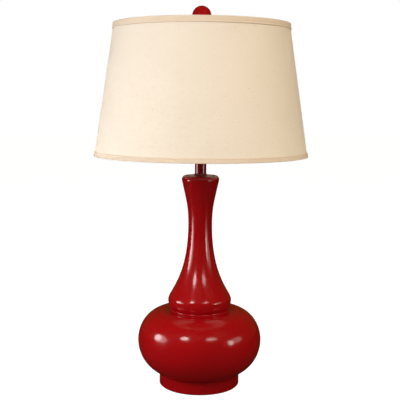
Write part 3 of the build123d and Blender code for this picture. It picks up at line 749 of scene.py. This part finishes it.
def shade_r(s, z, inset=0.0):
    """Radius of the shade's outside at a height, less an inset."""
    slope = (s.bottom_r - s.top_r) / (s.top_z - s.bottom_z)
    return s.top_r + (s.top_z - z) * slope - inset


def shade_wave(t, z):
    """Slight waviness of a hand-made drum, a sum of three slow sines round the shade."""
    return (0.25 * np.sin(3 * t + 0.7) + 0.16 * np.sin(7 * t + 2.1 + 0.003 * z)
            + 0.10 * np.sin(12 * t + 4.0))


def binding_wave(t, z):
    """The shade's own waviness, plus small puckers of the folded cloth: three quick sines."""
    return shade_wave(t, z) + 0.045 * (
        np.sin(61 * t + 0.04 * z) + 0.7 * np.sin(97 * t + 1.3) + 0.6 * np.sin(143 * t + 2.6))


def lap(t, z):
    """Waviness, and the cloth's overlap at the back: a flat ridge 0.45 high and 10 wide."""
    mean_r, high, half, ramp = 195, 0.45, 5, 0.8
    away = np.abs((t - REAR + math.pi) % (2 * math.pi) - math.pi) * mean_r
    return shade_wave(t, z) + high * np.clip((half - away) / ramp, 0, 1)


# ---- operators
class LAMP_OT_hardware(Operator):
    """Give the CAD nodes, some of which stay in view, the material of their slots"""
    bl_idname = "lamp.hardware"
    bl_label = "Hardware"

    def execute(self, context):
        materials = finishes(context.scene)
        for entry in frame["record"]["subparts"]:
            node = frame["nodes"][entry["node"]]
            for holder in node.material_slots:
                holder.material = materials[entry["material_slot"]]
        return {"FINISHED"}


class LAMP_OT_gourd(Operator):
    """Turn the glazed body"""
    bl_idname = "lamp.gourd"
    bl_label = "Glazed Body"

    def execute(self, context):
        outline = gourd_outline(in_mm(context.scene.lamp_gourd))
        piece("gourd_glazed", "gourd_body", "red_glaze", "lamp", ring(outline, FINE_TURN),
              sharp=40)
        return {"FINISHED"}


class LAMP_OT_foot(Operator):
    """Make the felt under the foot and the bushing for the cord"""
    bl_idname = "lamp.foot"
    bl_label = "Foot"

    def execute(self, context):
        high = box("felt_pad")[1]
        r, top = high.x, high.z
        felt = chain(line((0, 0), (r - 1, 0), 24),
                     arc((r - 0.8, top / 2), (0.8, top / 2), -90, 90, 7),
                     line((r - 1, top), (0, top), 6))
        phases = np.random.default_rng(5).uniform(0, 2 * math.pi, 6)

        def ragged(t, z):
            waves = (np.sin(n * t + p) for n, p in zip((5, 11, 23, 41, 67, 88), phases))
            return 0.06 * sum(waves)
        grid, *rest = capped(felt, 128)
        grid[1:-1] = turned(felt[1:-1], 128, ragged)
        piece("foot_felt", "felt_pad", "felt", "lamp", (grid, *rest))

        foot_r = in_mm(context.scene.lamp_gourd).foot_r
        low, high = box("cord_bushing")
        flange_r, barrel_r, bore_r = high.x, 6.0, 3.5
        flange, depth = high.y - foot_r, foot_r - low.y
        outline = eased(
            (bore_r, flange - 0.6, 0.5), (bore_r + 1.4, flange, 0.6), (flange_r, flange, 1.1),
            (flange_r, 0, 0.1), (barrel_r, 0, 0.1), (barrel_r, -depth, 0.3),
            (bore_r, -depth, 0.3))
        piece("cord_inlet", "cord_bushing", "black_plastic", "lamp",
              moved(ring(outline), facing(foot_r, mid_z("cord_bushing"), -90)))
        return {"FINISHED"}


class LAMP_OT_neck(Operator):
    """Turn the flared ring and the red tube above the body"""
    bl_idname = "lamp.neck"
    bl_label = "Neck"

    def execute(self, context):
        low, high = box("check_ring")
        tube_low, tube_high = box("neck_tube")
        tube_r = tube_high.x
        lip = tube_r + 0.1
        outline = chain(
            (PIPE_PASS_R, low.z), arc((high.x - 0.5, low.z + 0.9), (0.5, 0.9), -90, 0, 6),
            (high.x, low.z + 1.6),
            curve((high.x - 0.9, low.z + 3), (lip + 1, high.z - 2), (lip + 0.7, high.z - 0.3),
                  12),
            (lip + 0.5, high.z), (lip, high.z), (lip, tube_low.z), (PIPE_PASS_R, tube_low.z))
        piece("neck_ring", "check_ring", "red_metal", "lamp", ring(outline, 96))

        inner, under = tube_r - TUBE_WALL, tube_high.z - TUBE_WALL
        outline = eased(
            (inner, tube_low.z, 0.1), (tube_r, tube_low.z, 0.1), (tube_r, tube_high.z, 1.5),
            (PIPE_PASS_R, tube_high.z, 0.1), (PIPE_PASS_R, under, 0.1), (inner, under, 0.5))
        piece("neck_tube_red", "neck_tube", "red_metal", "lamp", ring(outline, 96))
        return {"FINISHED"}


class LAMP_OT_shade(Operator):
    """Make the linen drum, its liner and its two folded bindings"""
    bl_idname = "lamp.shade"
    bl_label = "Shade"

    def layer(self, s, inset, thick, steps):
        """Closed outline of a tapered layer of the drum."""
        low, high = box("shade_fabric")
        rows = np.linspace(low.z, high.z, steps)
        outer = np.stack([shade_r(s, rows, inset), rows], -1)
        inner = np.stack([shade_r(s, rows, inset + thick), rows], -1)[::-1]
        return np.concatenate([outer, inner])

    def cloth_uv(self, outline):
        """u along the cloth at the shade's mean radius, v along the outline, in metres."""
        run = way_along(np.concatenate([outline, outline[:1]]))
        u = np.linspace(0, 2 * math.pi, SHADE_TURN + 1) * outline[:, 0].mean()
        return np.stack(np.meshgrid(u, run), -1) * MM

    def binding(self, s, edge_z, inward, height, inner):
        """Cloth folded over the ring: rolled edge, outer leg with a turned hem, inner leg.

        Points are given by their inset from the shade's outside and their way from its edge.
        """
        t, fold, inner_leg = s.trim, 1.0, 8.0
        outer = inner + 0.8

        def at(inset, along):
            z = edge_z + inward * along
            return (shade_r(s, z, inset), z)
        return chain(
            at(t + 1.2, 0), curve(at(0.3, 0), at(0, 0.3), at(0, 1.9), 8),
            curve(at(-0.05, 4), at(0.25, height * 0.6), at(0.32, height - 3.4), 12),
            curve(at(0.75, height - 2.9), at(0, height - 2.4), at(0.05, height - 1.2), 8),
            curve(at(0.1, height), at(0.8, height), at(t, height), 7),
            line(at(t, height), at(t, fold), 6), line(at(t, fold), at(inner, fold), 4),
            line(at(inner, fold), at(inner, inner_leg), 4),
            curve(at(outer, inner_leg), at(outer, 7), at(outer, 5), 5),
            curve(at(outer, 0.3), at(inner + 0.4, 0), at(inner - 0.6, 0), 8),
            line(at(inner - 0.6, 0), at(t + 1.2, 0), 4)[:-1])

    def flat_cut(self, s):
        """Width, height and area of the drum's slant rolled out, a sector of a ring."""
        slant = math.hypot(s.bottom_r - s.top_r, s.top_z - s.bottom_z)
        far = slant * s.bottom_r / (s.bottom_r - s.top_r)
        half = math.pi * s.bottom_r / far
        width = 2 * far * math.sin(half)
        drop = far - (far - slant) * math.cos(half)
        return (width, drop), math.pi * (s.bottom_r + s.top_r) * slant

    def execute(self, context):
        s = in_mm(context.scene.lamp_shade)
        cloth = self.layer(s, s.trim, s.cloth, 40)
        linen = piece("linen_drum", "shade_fabric", "linen", "shade",
                      ring(cloth, SHADE_TURN, lap, self.cloth_uv(cloth)), sharp=50)
        liner = self.layer(s, s.trim + s.cloth, s.liner, 12)
        piece("drum_liner", "shade_liner", "white_liner", "shade",
              ring(liner, SHADE_TURN, shade_wave), sharp=50)

        inner = (shade_r(s, mid_z("top_ring")) - box("top_ring")[1].x + 2 * RING_WIRE_R
                 + 0.1)
        for end, edge_z, inward, height in (("top", s.top_z, -1, s.top_trim),
                                            ("bottom", s.bottom_z, 1, s.bottom_trim)):
            outline = self.binding(s, edge_z, inward, height, inner)
            piece(
                f"{end}_binding", f"{end}_trim", "trim_linen", "shade",
                ring(outline, SHADE_TURN, binding_wave, self.cloth_uv(outline)), sharp=50)

        return {"FINISHED"}


class LAMP_OT_spider(Operator):
    """Make the ring wires, the three arms, the hub and the threaded seat"""
    bl_idname = "lamp.spider"
    bl_label = "Spider"

    def execute(self, context):
        for end in ("top", "bottom"):
            low, high = box(f"{end}_ring")
            thick = (high.z - low.z) / 2
            outline = circle(thick, 12) + (high.x - thick, low.z + thick)
            piece(f"ring_wire_{end}", f"{end}_ring", "white_wire", "shade",
                  ring(outline, FINE_TURN))

        hub_low, hub_high = box("spider_hub")
        arm_z = mid_z("spider_hub")
        weld_r = box("top_ring")[1].x - 2 * RING_WIRE_R + 0.6
        along = round_path(((hub_high.x - 1, 0, arm_z), (weld_r - 13, 0, arm_z),
                            (weld_r, 0, mid_z("top_ring"))), [10])
        for place, degrees in (("rear", 90), ("left", 210), ("right", 330)):
            turn = Matrix.Rotation(math.radians(degrees), 4, "Z")
            piece(f"arm_wire_{place}", f"spider_arm_{place}", "white_wire", "shade",
                  moved(rod(along, ARM_WIRE_R), turn))
        piece("hub_washer", "spider_hub", "white_wire", "shade",
              ring(washer(STUD_R + 0.2, hub_high.x, hub_low.z, hub_high.z)))

        low, high = box("harp_seat")
        head_r, head_z, disc_r, disc_z = 3.6, low.z + 1.7, 9.0, hub_low.z - 2.8
        outline = chain(
            (0, low.z), (2.4, low.z), curve((3.4, low.z), (head_r, low.z + 0.4),
                                            (head_r, head_z), 6),
            (SEAT_PIN_R, head_z), (SEAT_PIN_R, disc_z), (disc_r - 0.4, disc_z),
            curve((disc_r, disc_z), (disc_r, disc_z), (disc_r, disc_z + 0.5), 4),
            (disc_r, hub_low.z), line((STUD_R, hub_low.z), (STUD_R, high.z - 0.7), 60),
            (STUD_R - 0.7, high.z), (0, high.z))
        cut = screw_thread(hub_low.z + 0.2, high.z - 0.5, 27, 0.22)
        piece("seat_swivel", "harp_seat", "brass", "shade", capped(outline, 48, cut), sharp=40)
        return {"FINISHED"}


class LAMP_OT_harp(Operator):
    """Bend the harp's wire and make the two sleeves on its legs"""
    bl_idname = "lamp.harp"
    bl_label = "Harp"

    def execute(self, context):
        low, high = box("harp_wire")
        r = HARP_WIRE_R
        wide_x, top_z = high.x - r, high.z - r
        right = [(HARP_LEG_X, 0, low.z), (HARP_LEG_X, 0, low.z + 40),
                 (wide_x, 0, low.z + 103), (wide_x, 0, top_z)]
        left = [(-x, y, z) for x, y, z in reversed(right)]
        path = round_path(right + left, (30, 60, 48, 48, 60, 30))
        near_eye = np.clip(1 - np.abs(path[:, 0]) / 14, 0, 1) * (path[:, 2] > top_z - r)
        flat = near_eye ** 2 * (3 - 2 * near_eye)
        pressed = np.stack([1 - 0.34 * flat, 1 + 0.45 * flat], -1)
        wire = carried(path, circle(r, 20), pressed), False, True, None
        eye = washer(EYE_HOLE_R, EYE_R, top_z - 1.3, top_z + 1.3)
        piece("harp_loop", "harp_wire", "brass", "lamp", wire, ring(eye))

        for side, sign in (("left", -1), ("right", 1)):
            low, high = box(f"harp_sleeve_{side}")
            bore = r + 0.1
            outline = eased(
                (bore, low.z, 0.1), (3.6, low.z, 0.4), (3.6, low.z + 2.4, 0.5),
                (3.0, low.z + 3.2, 0.4), (2.65, high.z - 1, 0.5), (2.3, high.z, 0.2),
                (bore, high.z, 0.1))
            place = Matrix.Translation((sign * HARP_LEG_X, 0, 0))
            piece(f"leg_sleeve_{side}", f"harp_sleeve_{side}", "brass", f"sleeve_{side}",
                  moved(ring(outline, 40), place))
        return {"FINISHED"}


class LAMP_OT_socket(Operator):
    """Make the socket's cap, shell and switch knob"""
    bl_idname = "lamp.socket"
    bl_label = "Socket"

    def execute(self, context):
        low, high = box("socket_cap")
        cup_r, hub_r, bore, wall = high.x, 8.0, 5.0, SHELL_WALL
        neck_z, cup_z = low.z + 7, high.z - 9
        outline = chain(
            (bore, low.z), arc((hub_r - 0.6, low.z + 0.6), (0.6, 0.6), -90, 0, 5),
            (hub_r, neck_z), curve((hub_r + 4.5, neck_z + 0.5), (cup_r, cup_z - 4),
                                   (cup_r, cup_z), 16),
            (cup_r, high.z - 0.3), (cup_r - 0.2, high.z), (cup_r - wall, high.z),
            (cup_r - wall, cup_z),
            curve((cup_r - wall, cup_z - 3.4), (hub_r + 4, neck_z + 1.4),
                  (hub_r - 0.5, neck_z + wall), 12),
            (bore, neck_z + wall))
        piece("socket_cup", "socket_cap", "brass", "lamp", ring(outline, 80))

        low, high = box("socket_shell")
        r, inner, bead = SHELL_R, SHELL_R - wall, high.z - 7
        outline = chain(
            (inner, low.z), line((r, low.z), (r, bead - 2), 12),
            curve((r + 1.2, bead - 1), (r + 1.2, bead + 1), (r, bead + 2), 9),
            (r, high.z - 0.4), curve((r, high.z), (inner, high.z), (inner, high.z - 0.4), 5),
            line((inner, high.z - 0.4), (inner, low.z + 0.5), 8))
        piece("socket_barrel", "socket_shell", "brass", "lamp", ring(outline, 80))

        low, high = box("switch_knob")
        r, deep = high.x, high.y - low.y
        nose = deep - 2.4
        outline = chain(
            (0, 0), (r - 0.6, 0), (r - 0.5, 0), line((r, 0.6), (r, nose), 14),
            curve((r, deep - 0.6), (3, deep), (1.4, deep), 10), (0, deep))

        def flutes(t, z):
            on = np.clip((z - 1) / 0.8, 0, 1) * np.clip((nose - z) / 0.8, 0, 1)
            return -0.55 * on * np.clip(np.cos(12 * t), 0, 1)
        place = facing(high.y, mid_z("switch_knob"), 90)
        piece("turn_knob", "switch_knob", "black_plastic", "switch",
              moved(capped(outline, 144, flutes), place))
        return {"FINISHED"}


class LAMP_OT_bulb(Operator):
    """Blow the bulb's glass and roll its screw cap"""
    bl_idname = "lamp.bulb"
    bl_label = "Bulb"

    def execute(self, context):
        low, high = box("bulb_globe")
        cap_low, cap_high = box("bulb_cap")
        centre = (0, high.z - GLOBE_R)
        join = -32                  # degrees at which the globe runs into its neck
        tangent = np.array([math.sin(math.radians(join)), -math.cos(math.radians(join))])

        def envelope(radius, neck):
            """Straight neck, cubic curve, then the globe's arc up to the axis."""
            globe = arc(centre, (radius, radius), join, 90, 40)
            foot_z = cap_high.z + 1
            return chain(
                line((neck, low.z), (neck, foot_z), 3),
                curve((neck, foot_z + 12), globe[0] + tangent * 14, globe[0], 20), globe)
        neck_r, wall = 12.4, 1.0
        outline = chain(envelope(GLOBE_R, neck_r),
                        envelope(GLOBE_R - wall, neck_r - wall)[::-1])
        piece("bulb_glass", "bulb_globe", "frosted_glass", "bulb",
              capped(np.concatenate([outline, outline[:1]]), 96), sharp=60)

        r, sheet = cap_high.x, 0.45
        low_z, first, last = cap_low.z, cap_low.z + 3, cap_high.z - 2.2
        outline = chain(
            (0, low_z), (9.6, low_z),
            curve((11, low_z), (r - 1, low_z + 1), (r - 0.6, first - 0.2), 6),
            line((r, first), (r, last), 50), (r, cap_high.z - 0.2), (r - sheet, cap_high.z),
            line((r - sheet, last), (r - sheet, first), 50), (9.2, low_z + 0.8),
            (0, low_z + 0.8))
        cut = screw_thread(first - 0.001, last + 0.001, 7, 0.85)
        piece("bulb_screw", "bulb_cap", "cap_metal", "bulb", capped(outline, 72, cut), sharp=50)
        return {"FINISHED"}


class LAMP_OT_finial(Operator):
    """Turn the finial's ball and collar"""
    bl_idname = "lamp.finial"
    bl_label = "Finial"

    def execute(self, context):
        low, high = box("finial_ball")
        centre_z = high.z - BALL_R
        flat = math.degrees(math.asin((low.z - centre_z) / BALL_R))
        bore, blind_z = 5.6, box("finial_insert")[1].z + 1
        outline = chain(arc((0, centre_z), (BALL_R, BALL_R), 90, flat, 64), (bore, low.z),
                        (bore, blind_z), (0, blind_z))
        piece("finial_round", "finial_ball", "red_ball", "finial", capped(outline, 96),
              sharp=40)

        low, high = box("finial_collar")
        outline = chain(
            (bore, low.z), (9.6, low.z), arc((9.1, low.z + 0.9), (0.9, 0.9), -90, 90, 9),
            curve((6.9, low.z + 3.2), (6.9, high.z - 3.5), (8.4, high.z - 0.1), 14),
            (8.4, high.z), (bore, high.z))
        piece("finial_neck", "finial_collar", "red_ball", "finial", ring(outline))
        return {"FINISHED"}


# ---- stage
CAMERA_BACK = 1.6867        # from the lamp's axis, level
CAMERA_HEIGHT = 0.5902
CAMERA_SIDE = -0.0008
CAMERA_PITCH = 6.917        # degrees below level
CAMERA_ROLL = 0.441
FOCAL_PIXELS = 829.4        # focal length in pixels of the square picture
PICTURE = 400
SENSOR = 36.0

# Each light: name, degrees round from the camera's side, level distance from the axis, height
# of its centre, its own width and height, the brightness of its face, colour.
SOFTBOXES = (
    ("panel_left", -80, 0.75, 0.32, 0.20, 0.20, 8.0, (1.0, 0.98, 0.95)),
    ("halo_left", -74, 0.75, 0.32, 0.36, 0.25, 3.2, (1.0, 0.98, 0.95)),
    ("small_left", -29, 0.91, 0.72, 0.25, 0.20, 11.0, (1.0, 0.97, 0.94)),
    ("small_right", 24, 0.91, 0.72, 0.32, 0.17, 5.5, (1.0, 0.94, 0.88)),
    ("panel_right", 57, 0.83, 0.31, 0.15, 0.18, 7.5, (1.0, 0.94, 0.84)),
    ("halo_right", 70, 0.83, 0.34, 0.38, 0.20, 1.6, (1.0, 0.94, 0.84)),
)
# Broad light that no reflection shows.
FILLS = (
    ("fill_left", -62, 2.2, 1.10, 1.40, 1.60, 1.6, (1.0, 1.0, 1.0)),
    ("fill_left_low", -72, 1.6, 0.10, 0.60, 0.50, 9.0, (1.0, 0.95, 0.9)),
    ("fill_front", -20, 1.8, 1.90, 1.80, 1.40, 3.2, (1.0, 1.0, 0.98)),
    ("fill_right", 62, 2.2, 0.70, 0.80, 0.90, 2.0, (1.0, 0.87, 0.60)),
    ("fill_right_high", 50, 1.8, 1.90, 1.40, 1.40, 3.7, (1.0, 0.80, 0.52)),
    ("fill_back", 172, 2.0, 1.50, 1.80, 1.40, 2.6, (1.0, 0.97, 0.93)),
)
AIM_Z = 0.25


class LAMP_OT_stage(Operator):
    """Set the pale floor, the softboxes and the camera"""
    bl_idname = "lamp.stage"
    bl_label = "Stage"

    def floor(self):
        """Pale floor that reads white to the camera but keeps the lamp's soft shadow.

        The camera sees through it from below.
        """
        half = 12.0
        mesh = bpy.data.meshes.new("floor")
        corners = [(-half, -half, 0), (half, -half, 0), (half, half, 0), (-half, half, 0)]
        mesh.from_pydata(corners, [], [(0, 1, 2, 3)])
        ground = bpy.data.objects.new("floor", mesh)
        bpy.context.scene.collection.objects.link(ground)
        f = Finish("floor")
        rays = f.node("ShaderNodeLightPath")
        seen, mirrored = (Number(f, rays.outputs[name]) for name in (
            "Is Camera Ray", "Is Glossy Ray"))
        lit, in_gloss, to_camera = (0.35, 0.34, 0.32), (0.03, 0.02, 0.01), (0.30, 0.30, 0.30)
        tone = f.mix(seen, f.mix(mirrored, lit, in_gloss), to_camera)
        diffuse = f.node("ShaderNodeBsdfDiffuse", None, {"Color": tone})
        glow = f.node("ShaderNodeEmission", None, {
            "Color": (1, 1, 1, 1), "Strength": seen * 0.95})
        both = f.node("ShaderNodeAddShader", None, {0: diffuse.outputs[0], 1: glow.outputs[0]})
        clear = f.node("ShaderNodeBsdfTransparent")
        under = Number(f, f.node("ShaderNodeNewGeometry").outputs["Backfacing"]) * seen
        face = f.node("ShaderNodeMixShader", None, {
            0: under, 1: both.outputs[0], 2: clear.outputs[0]})
        f.node("ShaderNodeOutputMaterial", None, {0: face.outputs[0]})
        mesh.materials.append(f.material)

    def world(self, scene):
        """White to the camera and through glass, dim and brown in reflections, even fill
        elsewhere."""
        world = bpy.data.worlds.new("studio")
        scene.world = world
        world.use_nodes = True
        w = Finish("studio", world.node_tree)
        rays = w.node("ShaderNodeLightPath")
        seen, through, mirrored, fill = (Number(w, rays.outputs[name]) for name in (
            "Is Camera Ray", "Is Transmission Ray", "Is Glossy Ray", "Is Diffuse Ray"))
        strength = seen + through * 0.9 + mirrored * 0.05 + fill * 0.17
        tint = w.mix(mirrored, (1.0, 1.0, 1.0), (1.0, 0.8, 0.2))
        tint = w.mix(fill, tint, (1.0, 0.95, 0.82))
        back = w.node("ShaderNodeBackground", None, {"Color": tint, "Strength": strength})
        w.node("ShaderNodeOutputWorld", None, {0: back.outputs[0]})

    def softbox(self, scene, mirrored, name, azimuth, away, up, width, height, shine, tint):
        """Oval light turned to the lamp. Its watts are pi times its area and brightness."""
        light = bpy.data.lights.new(name, "AREA")
        light.shape, light.size, light.size_y = "ELLIPSE", width, height
        light.energy, light.color = math.pi ** 2 / 4 * width * height * shine, tint
        holder = bpy.data.objects.new(name, light)
        holder.visible_camera = False
        holder.visible_glossy = mirrored
        scene.collection.objects.link(holder)
        a = math.radians(azimuth)
        holder.location = (away * math.sin(a), -away * math.cos(a), up)
        holder.rotation_euler = (math.pi / 2 - math.atan2(up - AIM_Z, away), 0, a)

    def execute(self, context):
        scene = context.scene
        self.floor()
        self.world(scene)
        for boxes, mirrored in ((SOFTBOXES, True), (FILLS, False)):
            for box in boxes:
                self.softbox(scene, mirrored, *box)
        lens = bpy.data.cameras.new("camera")
        lens.sensor_width = SENSOR
        lens.lens = FOCAL_PIXELS / PICTURE * SENSOR
        eye = bpy.data.objects.new("camera", lens)
        scene.collection.objects.link(eye)
        turn = Matrix.Rotation(math.radians(90 - CAMERA_PITCH), 4, "X")
        roll = Matrix.Rotation(math.radians(CAMERA_ROLL), 4, "Z")
        place = Matrix.Translation((CAMERA_SIDE, -CAMERA_BACK, CAMERA_HEIGHT))
        eye.matrix_world = place @ turn @ roll
        scene.camera = eye
        scene.view_settings.view_transform = "Standard"
        return {"FINISHED"}


OPERATORS = (LAMP_OT_hardware, LAMP_OT_gourd, LAMP_OT_foot, LAMP_OT_neck, LAMP_OT_shade,
             LAMP_OT_spider, LAMP_OT_harp, LAMP_OT_socket, LAMP_OT_bulb, LAMP_OT_finial,
             LAMP_OT_stage)


class LAMP_PT_panel(Panel):
    """Sizes, colours and steps of the lamp"""
    bl_idname = "LAMP_PT_panel"
    bl_label = "Double Gourd Lamp"
    bl_space_type = "VIEW_3D"
    bl_region_type = "UI"
    bl_category = "Lamp"

    def draw(self, context):
        for group in (context.scene.lamp_gourd, context.scene.lamp_shade,
                      context.scene.lamp_colours):
            box = self.layout.box()
            box.label(text=type(group).__doc__)
            for name in type(group).__annotations__:
                box.prop(group, name)
        for operator in OPERATORS:
            self.layout.operator(operator.bl_idname)


GROUPS = {"lamp_gourd": GourdSizes, "lamp_shade": ShadeSizes, "lamp_colours": LampColours}


def register():
    for each in (*GROUPS.values(), *OPERATORS, LAMP_PT_panel):
        bpy.utils.register_class(each)
    for name, group in GROUPS.items():
        setattr(bpy.types.Scene, name, PointerProperty(type=group))


def unregister():
    for name in GROUPS:
        delattr(bpy.types.Scene, name)
    for each in reversed((*GROUPS.values(), *OPERATORS, LAMP_PT_panel)):
        bpy.utils.unregister_class(each)


def main():
    register()
    for operator in OPERATORS:
        getattr(bpy.ops.lamp, operator.bl_idname.split(".")[1])()


if __name__ == "__main__":
    main()
